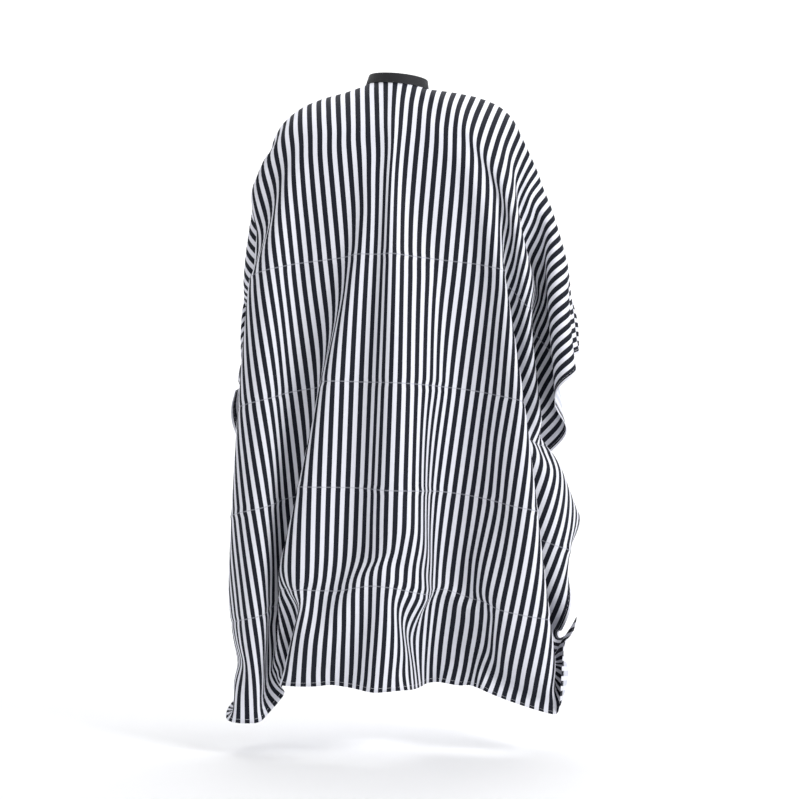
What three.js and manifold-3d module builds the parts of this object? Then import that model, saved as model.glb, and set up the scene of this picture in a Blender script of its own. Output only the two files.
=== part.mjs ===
// Barber cape: a hemmed sheet of printed polyester, sewn into a black neckband that closes with press snaps.
// Millimetres. The origin is the middle of the neckband's ring, +Z is up and the wearer faces -Y.
import * as THREE from "three";
import { mergeVertices } from "three/addons/utils/BufferGeometryUtils.js";
import Module from "manifold-3d";

const GAP = 0.3; // between pieces that touch

// Neckband: a flat strip bent into a ring, with a straight stretch at the back for the snaps.
const NECK_RADIUS = 58.5; // to the middle of the strip
const BAND_HEIGHT = 20;
const BAND_TILT = 5.5; // degrees, low on the wearer's left
const BAND_LEAN = 4.5; // how far the front and sides lean in over the band's height
const BACK_DEPTH = 40; // from the centre to the straight stretch
const BACK_CORNER = 12; // radius where the ring turns into the straight stretch
const LINING = 1;
const INTERFACING = 0.8;
const OUTER = 1.2;
const BAND_STEP = 7.5; // degrees between the stations of the ring

// Press snaps. A stud and its post are riveted through the band's inner end,
// and a socket and its cap through the tab.
const STUD_COUNT = 5;
const SOCKET_COUNT = 2;
const SNAP_PITCH = 12;
const FIRST_SNAP = 17; // from the middle of the back
const FLANGE = 0.6; // thickness of the stud's and the post's flanges
const STUD_RADIUS = 3.4;
const POST_RADIUS = 4.2;
const KNOB_RADIUS = 1.55;
const KNOB_HEIGHT = 1.2; // inside the socket
const SOCKET_RADIUS = 4.2;
const SOCKET_WALL = 2.2;
const SOCKET_BASE = 0.5;
const CAP_RADIUS = 5;
const CAP_RISE = 1;
const STEM_RADIUS = 1.2;
const SNAP_MARGIN = 2.8; // from a cap's or a post's edge to the strip's end

// Closure tab
const TAB_ROOT = 29.5; // from the middle of the back to the line where the tab bends
const TAB_CORNER = 7;

// Cape cloth, as it hangs
const CLOTH = 2.5;
const SEAM_DEPTH = 4; // how far the cloth reaches up into the neckband
const SLIT_WIDTH = 4; // the back slit runs down beside the band's inner end
const FRONT_DROP = 1180; // to the front hem
const LEFT_DROP = 1225; // to the hem of the wearer's left side
const RIGHT_DROP = 1245; // to the hem of the wearer's right side
const BACK_DROP = 310; // to the hem behind
const CORNER_DROP = 530; // to the back corners, which hang at the sides
const WIDTH_AT_HEM = 345; // from the middle to each side
const SHOULDER_WIDTH = 240;
const CHEST_DEPTH = 150;
const BACK_WIDTH = 180; // from the middle to the cloth behind
const HEM_DEPTH = 195; // from the middle to the front hem
const CLOTH_ROWS = 22;
const TURN = 2 * Math.PI;

const STRIP = LINING + INTERFACING + OUTER + 2 * GAP; // thickness of the made-up band
const SEAM_MIDDLE = (LINING - OUTER) / 2; // middle of the space between the lining and the outer layer
const SOCKET_CAVITY = KNOB_HEIGHT + GAP;
const SOCKET_HEIGHT = SOCKET_BASE + SOCKET_CAVITY;
const TAB_DEPTH = BACK_DEPTH + STRIP + FLANGE + SOCKET_HEIGHT + 3 * GAP; // middle of the tab's strip
const HOLE_RADIUS = STEM_RADIUS + GAP;
const TAB_TIP = FIRST_SNAP - (SOCKET_COUNT - 1) * SNAP_PITCH - CAP_RADIUS - SNAP_MARGIN;
const UNDER_END = FIRST_SNAP + POST_RADIUS + SNAP_MARGIN;

const radians = THREE.MathUtils.degToRad;
const toDegrees = THREE.MathUtils.radToDeg;
const clamp = THREE.MathUtils.clamp;
const wasm = await Module();
wasm.setup();

const black = new THREE.MeshStandardMaterial({ color: 0x14141a, roughness: 0.55, metalness: 0 });
const canvas = new THREE.MeshStandardMaterial({ color: 0xd8d4c8, roughness: 0.9, metalness: 0 });
const print = new THREE.MeshStandardMaterial({ color: 0xdcdcec, roughness: 0.8, metalness: 0 });
const steel = new THREE.MeshStandardMaterial({ color: 0x3a3a40, roughness: 0.35, metalness: 0.9 });

const cape = new THREE.Group();
const neck = new THREE.Group();
neck.rotation.y = radians(BAND_TILT);
cape.add(neck);

function add(parent, name, geometry, material) {
  const mesh = new THREE.Mesh(geometry, material);
  mesh.name = name;
  parent.add(mesh);
  return mesh;
}

// A value between hand-set stations [at, value], eased so that it passes through each without a kink.
function between(stations, at) {
  const last = stations.length - 1;
  const i = clamp(stations.findIndex((s) => s[0] > at) - 1, 0, last - 1);
  const place = at >= stations[last][0] ? last - 1 : i;
  const slope = (k) => {
    const [a, b] = [stations[Math.max(k - 1, 0)], stations[Math.min(k + 1, last)]];
    return (b[1] - a[1]) / (b[0] - a[0]);
  };
  const [from, to] = [stations[place], stations[place + 1]];
  const step = to[0] - from[0];
  const t = clamp((at - from[0]) / step, 0, 1);
  const [t2, t3] = [t * t, t * t * t];
  return (2 * t3 - 3 * t2 + 1) * from[1] + (t3 - 2 * t2 + t) * step * slope(place)
    + (3 * t2 - 2 * t3) * to[1] + (t3 - t2) * step * slope(place + 1);
}

// A closed solid round a grid of middle points, points[row][column], with a thickness for each row.
// Rows run downwards and columns run anticlockwise seen from above, so that normals point outwards.
function thicken(points, thickness) {
  const [rows, columns] = [points.length, points[0].length];
  const positions = [];
  for (const side of [0.5, -0.5]) {
    for (let r = 0; r < rows; r++) {
      for (let c = 0; c < columns; c++) {
        const down = new THREE.Vector3().subVectors(
          points[Math.min(r + 1, rows - 1)][c], points[Math.max(r - 1, 0)][c]);
        const along = new THREE.Vector3().subVectors(
          points[r][Math.min(c + 1, columns - 1)], points[r][Math.max(c - 1, 0)]);
        const normal = down.cross(along).normalize();
        positions.push(...points[r][c].clone().addScaledVector(normal, side * thickness(r)).toArray());
      }
    }
  }
  const faces = [];
  const quad = (a, b, c, d) => faces.push(a, b, c, a, c, d);
  const at = (side, r, c) => (side * rows + r) * columns + c;
  for (let r = 0; r < rows - 1; r++) {
    for (let c = 0; c < columns - 1; c++) {
      quad(at(0, r, c), at(0, r + 1, c), at(0, r + 1, c + 1), at(0, r, c + 1));
      quad(at(1, r, c), at(1, r, c + 1), at(1, r + 1, c + 1), at(1, r + 1, c));
    }
    quad(at(0, r, 0), at(1, r, 0), at(1, r + 1, 0), at(0, r + 1, 0));
    quad(at(0, r, columns - 1), at(0, r + 1, columns - 1), at(1, r + 1, columns - 1), at(1, r, columns - 1));
  }
  for (let c = 0; c < columns - 1; c++) {
    quad(at(0, 0, c), at(0, 0, c + 1), at(1, 0, c + 1), at(1, 0, c));
    quad(at(0, rows - 1, c), at(1, rows - 1, c), at(1, rows - 1, c + 1), at(0, rows - 1, c + 1));
  }
  const geometry = new THREE.BufferGeometry();
  geometry.setAttribute("position", new THREE.Float32BufferAttribute(positions, 3));
  geometry.setIndex(faces);
  return geometry;
}

function solid(geometry) {
  const plain = geometry.clone();
  plain.deleteAttribute("normal");
  plain.deleteAttribute("uv");
  const merged = mergeVertices(plain, 1e-4);
  return new wasm.Manifold(new wasm.Mesh({
    numProp: 3,
    vertProperties: merged.attributes.position.array,
    triVerts: new Uint32Array(merged.index.array),
  }));
}

function drilled(geometry, cutters) {
  const mesh = cutters.reduce((body, cutter) => body.subtract(solid(cutter)), solid(geometry)).getMesh();
  const result = new THREE.BufferGeometry();
  result.setAttribute("position", new THREE.BufferAttribute(mesh.vertProperties, 3));
  result.setIndex(new THREE.BufferAttribute(mesh.triVerts, 1));
  return result;
}

// The ring's middle line runs from the inner end along the straight back, round the wearer's right side, the
// front and the left side, to the line where the tab bends. Each station has a place and an outward normal.
function bandLine() {
  const inside = NECK_RADIUS - BACK_CORNER;
  const side = (depth) => Math.sqrt(inside ** 2 - (depth - BACK_CORNER) ** 2);
  const stations = [];
  const station = (x, y, angle) => stations.push({ x, y, nx: Math.cos(angle), ny: Math.sin(angle) });
  const arc = (x, y, radius, from, to) => {
    const steps = Math.max(2, Math.round(toDegrees(to - from) / BAND_STEP));
    for (let i = 0; i <= steps; i++) {
      const angle = from + ((to - from) * i) / steps;
      station(x + radius * Math.cos(angle), y + radius * Math.sin(angle), angle);
    }
  };
  const [back, left, right] = [TURN / 4, side(BACK_DEPTH), side(TAB_DEPTH)];
  const turnIn = Math.atan2(BACK_DEPTH - BACK_CORNER, -left);
  const turnOut = TURN + Math.atan2(TAB_DEPTH - BACK_CORNER, right);
  const flatSteps = 6;
  for (let i = 0; i < flatSteps; i++) {
    station(UNDER_END - ((UNDER_END + left) * i) / flatSteps, BACK_DEPTH, back);
  }
  arc(-left, BACK_DEPTH - BACK_CORNER, BACK_CORNER, back, turnIn);
  stations.pop();
  arc(0, 0, NECK_RADIUS, turnIn, turnOut);
  stations.pop();
  arc(right, TAB_DEPTH - BACK_CORNER, BACK_CORNER, turnOut, TURN + back);
  station(TAB_ROOT + GAP / 2, TAB_DEPTH, back);
  return stations;
}

const line = bandLine();

// A point of the band, out from its middle line and up from its middle. The band leans in except behind.
function onBand(station, out, up) {
  const ahead = clamp(1 - station.y / BACK_DEPTH, 0, 1);
  const reach = out - (BAND_LEAN * ahead * ahead * (3 - 2 * ahead) * up) / BAND_HEIGHT;
  return new THREE.Vector3(station.x + station.nx * reach, station.y + station.ny * reach, up);
}

// Layers of the band and of the tab, from the neck outwards.
const SHORT = 1.5; // the interfacing stops this short of the other layers' edges
const CORE = LINING + GAP - STRIP / 2; // the interfacing's face towards the neck
const layers = [
  { part: "lining", inner: -STRIP / 2, thickness: LINING, material: black, short: 0 },
  { part: "interfacing", inner: CORE, thickness: INTERFACING, material: canvas, short: SHORT },
  { part: "outer", inner: STRIP / 2 - OUTER, thickness: OUTER, material: black, short: 0 },
];

// The interfacing stops above the cloth that is sewn in between the other two layers.
const interfacingFoot = -BAND_HEIGHT / 2 + SEAM_DEPTH + GAP;

const snapAt = (i) => FIRST_SNAP - i * SNAP_PITCH;
const range = (count) => Array.from({ length: count }, (_, i) => i);
const postHoles = range(STUD_COUNT).map((i) =>
  new THREE.CylinderGeometry(HOLE_RADIUS, HOLE_RADIUS, STRIP + 2, 16).translate(snapAt(i), BACK_DEPTH, 0));

for (const layer of layers) {
  const middle = layer.inner + layer.thickness / 2;
  const top = BAND_HEIGHT / 2 - layer.short;
  const foot = layer.short ? interfacingFoot : -BAND_HEIGHT / 2;
  const grid = [top, foot].map((up) => line.map((station) => onBand(station, middle, up)));
  const strip = drilled(thicken(grid, () => layer.thickness), postHoles);
  add(neck, `neckband_${layer.part}`, strip, layer.material);
}

// The tab carries on from the band's outer end and laps over the inner end.
function tabOutline(short) {
  const [low, high] = [-BAND_HEIGHT / 2 + short, BAND_HEIGHT / 2 - short];
  const [root, tip, round] = [TAB_ROOT - GAP / 2 - short, TAB_TIP + short, TAB_CORNER - short];
  const shape = new THREE.Shape();
  shape.moveTo(root, low);
  shape.lineTo(root, high);
  shape.lineTo(tip + round, high);
  shape.absarc(tip + round, high - round, round, TURN / 4, TURN / 2, false);
  shape.absarc(tip + round, low + round, round, TURN / 2, (3 * TURN) / 4, false);
  for (const i of range(SOCKET_COUNT)) {
    shape.holes.push(new THREE.Path().absarc(snapAt(i), 0, HOLE_RADIUS, 0, TURN));
  }
  return shape;
}

for (const layer of layers) {
  const settings = { depth: layer.thickness, bevelEnabled: false, curveSegments: 8 };
  const geometry = new THREE.ExtrudeGeometry(tabOutline(layer.short), settings);
  geometry.rotateX(TURN / 4).translate(0, TAB_DEPTH + layer.inner + layer.thickness, 0);
  add(neck, `tab_${layer.part}`, geometry, layer.material);
}

// A turned snap part: its outline is [radius, height] pairs, and it points outwards at a snap's place.
function turned(outline, snap, depth) {
  const profile = outline.map(([radius, height]) => new THREE.Vector2(radius, height));
  return new THREE.LatheGeometry(profile, 20).translate(snapAt(snap), depth, 0);
}

const underFace = BACK_DEPTH + STRIP / 2; // outer face of the inner end
const neckFace = BACK_DEPTH - STRIP / 2;
const tabFace = TAB_DEPTH + STRIP / 2;
const stemLength = STRIP + GAP; // through the strip, stopping a gap short of what it is riveted to

for (const i of range(STUD_COUNT)) {
  const knobTop = FLANGE + GAP + KNOB_HEIGHT;
  const stud = [[0, 0], [STUD_RADIUS, 0], [STUD_RADIUS, FLANGE], [KNOB_RADIUS, FLANGE],
    [KNOB_RADIUS, FLANGE + GAP], [KNOB_RADIUS * 0.65, knobTop], [0, knobTop]];
  add(neck, `snap_stud_${i + 1}`, turned(stud, i, underFace + GAP), steel);
  const post = [[0, 0], [POST_RADIUS, 0], [POST_RADIUS, FLANGE], [STEM_RADIUS, FLANGE],
    [STEM_RADIUS, FLANGE + stemLength], [0, FLANGE + stemLength]];
  add(neck, `snap_post_${i + 1}`, turned(post, i, neckFace - GAP - FLANGE), steel);
}

for (const i of range(SOCKET_COUNT)) {
  const cavity = SOCKET_RADIUS - SOCKET_WALL;
  const socket = [[0, SOCKET_CAVITY], [cavity, SOCKET_CAVITY], [cavity, 0], [SOCKET_RADIUS, 0],
    [SOCKET_RADIUS, SOCKET_HEIGHT], [0, SOCKET_HEIGHT]];
  add(neck, `snap_socket_${i + 1}`, turned(socket, i, tabFace - STRIP - GAP - SOCKET_HEIGHT), steel);
  const cap = [[0, -stemLength], [STEM_RADIUS, -stemLength], [STEM_RADIUS, 0], [CAP_RADIUS, 0],
    [CAP_RADIUS * 0.94, CAP_RISE * 0.55], [CAP_RADIUS * 0.6, CAP_RISE * 0.9], [0, CAP_RISE]];
  add(neck, `snap_cap_${i + 1}`, turned(cap, i, tabFace + GAP), steel);
}

// The cape cloth hangs from the neckband in level hoops. Each hoop is a squared ellipse, a little wider
// on one side than on the other: [drop, to the right, to the left, to the front, to the back, squareness].
const hoops = [
  [20, 80, 84, 74, 62, 2],
  [35, 0.5 * SHOULDER_WIDTH, 0.58 * SHOULDER_WIDTH, 84, 78, 2.2],
  [63, 0.8 * SHOULDER_WIDTH, 0.88 * SHOULDER_WIDTH, 0.72 * CHEST_DEPTH, 0.6 * BACK_WIDTH, 2.6],
  [95, 0.95 * SHOULDER_WIDTH, 0.97 * SHOULDER_WIDTH, 0.85 * CHEST_DEPTH, 0.7 * BACK_WIDTH, 3],
  [150, 1.06 * SHOULDER_WIDTH, 1.04 * SHOULDER_WIDTH, 0.93 * CHEST_DEPTH, 0.8 * BACK_WIDTH, 3.2],
  [310, 1.17 * SHOULDER_WIDTH, 1.22 * SHOULDER_WIDTH, CHEST_DEPTH, BACK_WIDTH, 3],
  [520, 0.89 * WIDTH_AT_HEM, WIDTH_AT_HEM, 1.06 * CHEST_DEPTH, BACK_WIDTH, 2.8],
  [800, 0.96 * WIDTH_AT_HEM, 0.97 * WIDTH_AT_HEM, 0.9 * HEM_DEPTH, BACK_WIDTH, 2.8],
  [FRONT_DROP, WIDTH_AT_HEM, 0.95 * WIDTH_AT_HEM, HEM_DEPTH, BACK_WIDTH, 2.8],
];

// How far down the cloth reaches, by the direction it faces: 0 is the wearer's left, 90 is behind.
const edge = [
  [0, CORNER_DROP + 90], [18, CORNER_DROP], [50, 0.8 * CORNER_DROP],
  [90, BACK_DROP], [130, 0.8 * CORNER_DROP], [160, CORNER_DROP + 60],
  [185, 0.85 * RIGHT_DROP], [205, RIGHT_DROP], [235, FRONT_DROP], [290, FRONT_DROP],
  [320, LEFT_DROP], [338, 0.85 * LEFT_DROP], [360, CORNER_DROP + 90],
];

// A point of a hoop. The share runs from the slit's one edge round the front to its other edge.
function onHoop(drop, share) {
  const [right, left, front, back, square] = [1, 2, 3, 4, 5].map((k) =>
    between(hoops.map((hoop) => [hoop[0], hoop[k]]), drop));
  const turnOf = (x) => Math.acos((x / left) ** (square / 2));
  const [start, end] = [turnOf(UNDER_END), TURN + turnOf(UNDER_END + SLIT_WIDTH)];
  const turn = start + (end - start) * share;
  const [c, s] = [Math.cos(turn), Math.sin(turn)];
  const x = (c > 0 ? left : right) * Math.sign(c) * Math.abs(c) ** (2 / square);
  const y = (s > 0 ? back : front) * Math.sign(s) * Math.abs(s) ** (2 / square);
  return { x, y, turn };
}

function capeCloth() {
  const lengths = [0];
  for (let i = 1; i < line.length; i++) {
    lengths.push(lengths[i - 1] + Math.hypot(line[i].x - line[i - 1].x, line[i].y - line[i - 1].y));
  }
  const foot = -BAND_HEIGHT / 2;
  const tilted = (point) => point.applyEuler(neck.rotation);
  const grid = [
    line.map((station) => tilted(onBand(station, SEAM_MIDDLE, foot + SEAM_DEPTH))),
    line.map((station) => tilted(onBand(station, SEAM_MIDDLE, foot - 3 * GAP))),
    line.map((station) => tilted(onBand(station, STRIP + GAP, foot - BAND_LEAN))),
  ];
  const seamRows = grid.length;
  const [topDrop, fade, tilt] = [hoops[0][0], 2 * hoops[0][0], Math.tan(radians(BAND_TILT))];
  for (let r = 0; r <= CLOTH_ROWS; r++) {
    grid.push(lengths.map((length) => {
      const share = length / lengths[lengths.length - 1];
      const facing = toDegrees(onHoop(FRONT_DROP, share).turn) % 360;
      const reach = between(edge, facing) - topDrop;
      const drop = topDrop + reach * (r / CLOTH_ROWS) ** 1.6;
      const { x, y } = onHoop(drop, share);
      return new THREE.Vector3(x, y, -drop - x * tilt * clamp(1 - drop / fade, 0, 1));
    }));
  }
  return thicken(grid, (r) => (r < seamRows ? INTERFACING : CLOTH));
}

add(cape, "cape_cloth", capeCloth(), print);

export default cape;
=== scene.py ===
import math

import bmesh
import bpy
import numpy as np
from mathutils import Matrix, Vector


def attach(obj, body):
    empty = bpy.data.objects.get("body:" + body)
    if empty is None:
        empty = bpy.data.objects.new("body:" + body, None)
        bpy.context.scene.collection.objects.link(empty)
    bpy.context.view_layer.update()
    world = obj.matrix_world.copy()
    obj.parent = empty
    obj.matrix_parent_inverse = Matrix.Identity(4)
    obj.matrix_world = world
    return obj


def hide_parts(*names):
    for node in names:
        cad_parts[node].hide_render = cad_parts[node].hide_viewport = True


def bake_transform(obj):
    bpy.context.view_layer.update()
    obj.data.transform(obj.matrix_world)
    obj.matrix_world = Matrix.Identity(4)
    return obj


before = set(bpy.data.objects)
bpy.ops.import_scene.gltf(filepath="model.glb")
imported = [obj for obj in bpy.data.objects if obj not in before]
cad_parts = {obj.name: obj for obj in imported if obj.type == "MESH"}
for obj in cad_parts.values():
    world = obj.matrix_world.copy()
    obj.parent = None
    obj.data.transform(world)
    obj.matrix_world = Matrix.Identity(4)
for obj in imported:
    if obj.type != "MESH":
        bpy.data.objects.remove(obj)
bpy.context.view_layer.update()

# Cape cloth: the cut.
# One rectangle of thin woven polyester, printed with lengthwise stripes. It has a neck hole, cut to the foot
# of the neckband, and is slit from there to its back edge. The edges are turned in and sewn down as a hem.
CLOTH_WIDTH, CLOTH_LENGTH = 1.40, 1.60 # finished size, inside the turned edges
NECK_TO_BACK = 0.36 # from the middle of the neck hole to the back edge
NECK_TO_FRONT = CLOTH_LENGTH - NECK_TO_BACK
STRIPE_PITCH = CLOTH_WIDTH / 75
GRID = 0.020
PATCH = 0.10 # half the square round the neck hole where the grid turns into rings
PATCH_RINGS = 4
SLIT_SPREAD = math.radians(50) # how far round the neck hole the grid makes room for the slit
SLIT = 0.020 # the slit runs down this line of the cloth, to the right of the middle
CLOTH_TURN = math.radians(-4) # the cloth sits a little turned on the neck

NECK_RADIUS, BAND_HEIGHT, BAND_LEAN = 0.0585, 0.020, 0.0045
BACK_DEPTH, TAB_DEPTH, BACK_CORNER = 0.040, 0.0471, 0.012
UNDER_END, TAB_ROOT = 0.024, 0.02965
BAND_TILT = Matrix.Rotation(math.radians(5.5), 4, "Y")


def band_line(pitch):
    """The middle line of the neckband seen from above, from its inner end round the front to the tab, with
    the line's outward directions."""
    inside = NECK_RADIUS - BACK_CORNER
    left, right = (math.sqrt(inside ** 2 - (d - BACK_CORNER) ** 2) for d in (BACK_DEPTH, TAB_DEPTH))
    turn_in = math.atan2(BACK_DEPTH - BACK_CORNER, -left)
    turn_out = 2 * math.pi + math.atan2(TAB_DEPTH - BACK_CORNER, right)
    points, directions = [], []

    def run(place, length):
        for t in np.arange(0, 1, pitch / length):
            x, y, angle = place(t)
            points.append((x, y))
            directions.append((math.cos(angle), math.sin(angle)))

    def arc(cx, cy, radius, start, end):
        def place(t):
            angle = start + (end - start) * t
            return cx + radius * math.cos(angle), cy + radius * math.sin(angle), angle
        run(place, radius * (end - start))

    quarter = math.pi / 2
    run(lambda t: (UNDER_END - (UNDER_END + left) * t, BACK_DEPTH, quarter), UNDER_END + left)
    arc(-left, BACK_DEPTH - BACK_CORNER, BACK_CORNER, quarter, turn_in)
    arc(0, 0, NECK_RADIUS, turn_in, turn_out)
    arc(right, TAB_DEPTH - BACK_CORNER, BACK_CORNER, turn_out, 2 * math.pi + quarter)
    points += [(right, TAB_DEPTH), (TAB_ROOT, TAB_DEPTH)]
    directions += [(0, 1), (0, 1)]
    return np.array(points), np.array(directions)


def on_band(points, directions, out, up):
    """Places on the neckband, out from its middle line and up from its middle height. Its front and sides lean in."""
    ahead = np.clip(1 - points[:, 1] / BACK_DEPTH, 0, 1)
    reach = out - BAND_LEAN * ahead ** 2 * (3 - 2 * ahead) * up / BAND_HEIGHT
    level = np.column_stack([points + directions * np.reshape(reach, (-1, 1)), np.broadcast_to(up, len(points))])
    return level @ np.array(BAND_TILT.to_3x3()).T


def on_cloth(x, y):
    """The cloth's own lines across and along it, from a place when it lies level. It works both ways."""
    c, s = math.cos(CLOTH_TURN), math.sin(CLOTH_TURN)
    return x * c + y * s, x * s - y * c


NECK_FOLD = -0.0115 # where the cloth bends out from under the band, up from the band's middle height
SEAM_TOP = -0.0074 # the raw neck edge, between the band's layers
SEAM_ALLOWANCE = NECK_FOLD - SEAM_TOP
line, outward = band_line(0.001)
hole = line + outward * (0.0005 - BAND_LEAN * NECK_FOLD / BAND_HEIGHT * np.clip(1 - line[:, 1:] / BACK_DEPTH, 0, 1))
hole_angle = np.unwrap(np.arctan2(hole[:, 1], hole[:, 0]))
hole_size = np.hypot(hole[:, 0], hole[:, 1])


def neck_hole(angle):
    """A place on the neck hole's edge, in the direction of that angle, when the cloth lies level."""
    angle = hole_angle[0] + (angle - hole_angle[0]) % (2 * math.pi)
    size = np.interp(angle, np.append(hole_angle, hole_angle[0] + 2 * math.pi), np.append(hole_size, hole_size[0]))
    return size * math.cos(angle), size * math.sin(angle)


def level_angle(u, v):
    """The direction of a place on the cloth, seen from above when it lies level."""
    return math.atan2(*reversed(on_cloth(u, v)))


cut = bmesh.new()
corners = {}
columns = np.round(np.arange(-CLOTH_WIDTH / 2, CLOTH_WIDTH / 2 + GRID / 2, GRID), 4)
rows = np.round(np.arange(-NECK_TO_BACK, NECK_TO_FRONT + GRID / 2, GRID), 4)
inner = PATCH - GRID / 2
for v in rows:
    for u in columns:
        if max(abs(u), abs(v)) > inner:
            corners[u, v] = cut.verts.new((u, v, 0))
for u, u2 in zip(columns, columns[1:]):
    for v, v2 in zip(rows, rows[1:]):
        if max(abs(u + u2), abs(v + v2)) / 2 > inner:
            cut.faces.new([corners[p] for p in ((u, v), (u2, v), (u2, v2), (u, v2))])
side = np.round(np.arange(-PATCH, PATCH, GRID), 4)
square = [(p, -PATCH) for p in side] + [(PATCH, p) for p in side]
square += [(-p, PATCH) for p in side] + [(-PATCH, -p) for p in side]
slit_top = neck_hole(math.atan2(BACK_DEPTH, UNDER_END + 0.0008))
slit_angle = math.atan2(slit_top[1], slit_top[0])
slit_shift = slit_angle - level_angle(SLIT, -PATCH)
slit_line = [(SLIT, v) for v in rows if v <= -PATCH]
rings = [[corners[round(u, 4), round(v, 4)] for u, v in square]]
edge = []
for u, v in square:
    from_slit = (level_angle(u, v) - level_angle(SLIT, -PATCH) + math.pi) % (2 * math.pi) - math.pi
    angle = level_angle(u, v) + slit_shift * math.exp(-(from_slit / SLIT_SPREAD) ** 2)
    edge.append(on_cloth(*neck_hole(angle)))
for ring in range(1, PATCH_RINGS + 1):
    t = ring / PATCH_RINGS
    places = [np.array(a) * (1 - t) + np.array(b) * t for a, b in zip(square, edge)]
    rings.append([cut.verts.new((*place, 0)) for place in places])
    for i in range(len(square)):
        j = (i + 1) % len(square)
        cut.faces.new([rings[-2][i], rings[-2][j], rings[-1][j], rings[-1][i]])
neck_places = places
places = [p * (1 + SEAM_ALLOWANCE / np.hypot(*p)) for p in neck_places]
rings.append([cut.verts.new((*place, 0)) for place in places])
for i in range(len(square)):
    j = (i + 1) % len(square)
    cut.faces.new([rings[-2][i], rings[-2][j], rings[-1][j], rings[-1][i]])
cut.verts.index_update()
neck_fold, raw_edge = ([v.index for v in ring] for ring in rings[-2:])
slit = [corners[p].index for p in slit_line] + [ring[square.index((SLIT, -PATCH))].index for ring in rings[1:]]
bmesh.ops.recalc_face_normals(cut, faces=cut.faces)
sheet = bpy.data.meshes.new("cape")
cut.to_mesh(sheet)
cut.free()
flat = np.array([v.co[:2] for v in sheet.vertices])
if sheet.polygons[0].normal.z > 0: # on_cloth turns the sheet over
    sheet.flip_normals()
cape = bpy.data.objects.new("cape", sheet)
bpy.context.scene.collection.objects.link(cape)
lines = sheet.uv_layers.new(name="cut")
loops = np.array([l.vertex_index for l in sheet.loops])
lines.data.foreach_set("uv", flat[loops].astype(np.float32).ravel())
start = np.column_stack([*on_cloth(flat[:, 0], flat[:, 1]), np.full(len(flat), NECK_FOLD)])
start = start @ np.array(BAND_TILT.to_3x3()).T
stations = [int(np.argmin(np.hypot(*(hole - on_cloth(*p)).T))) for p in neck_places]
start[raw_edge] = on_band(line[stations], outward[stations], -0.0001, SEAM_TOP)
sheet.vertices.foreach_set("co", start.astype(np.float32).ravel())

# Cape cloth: the drape.
# The cloth hangs from its neck edge over the shoulders of a dress form, and falls free below them in soft
# folds, with its front pleated once. The form is only there while the cloth falls.
FORM = [ # height, middle x and y, half width, half depth and squareness of each of the form's hoops
    (0.030, 0, -0.006, 0.048, 0.038, 2), (-0.021, 0.001, -0.006, 0.052, 0.040, 2),
    (-0.028, 0.004, -0.004, 0.104, 0.048, 2.1), (-0.038, 0.008, -0.002, 0.150, 0.056, 2.3),
    (-0.056, 0.008, 0, 0.194, 0.068, 2.7), (-0.084, 0.003, 0, 0.221, 0.084, 3.3),
    (-0.115, 0.001, -0.002, 0.232, 0.098, 4), (-0.160, -0.002, -0.003, 0.240, 0.108, 4.2),
    (-0.250, 0.002, -0.004, 0.238, 0.108, 4.2), (-0.420, 0.010, 0.004, 0.231, 0.100, 4),
    (-0.700, 0.010, 0.030, 0.225, 0.070, 3), (-1.000, 0.010, 0.040, 0.210, 0.050, 3),
    (-1.300, 0.010, 0.050, 0.200, 0.040, 3),
]
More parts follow.
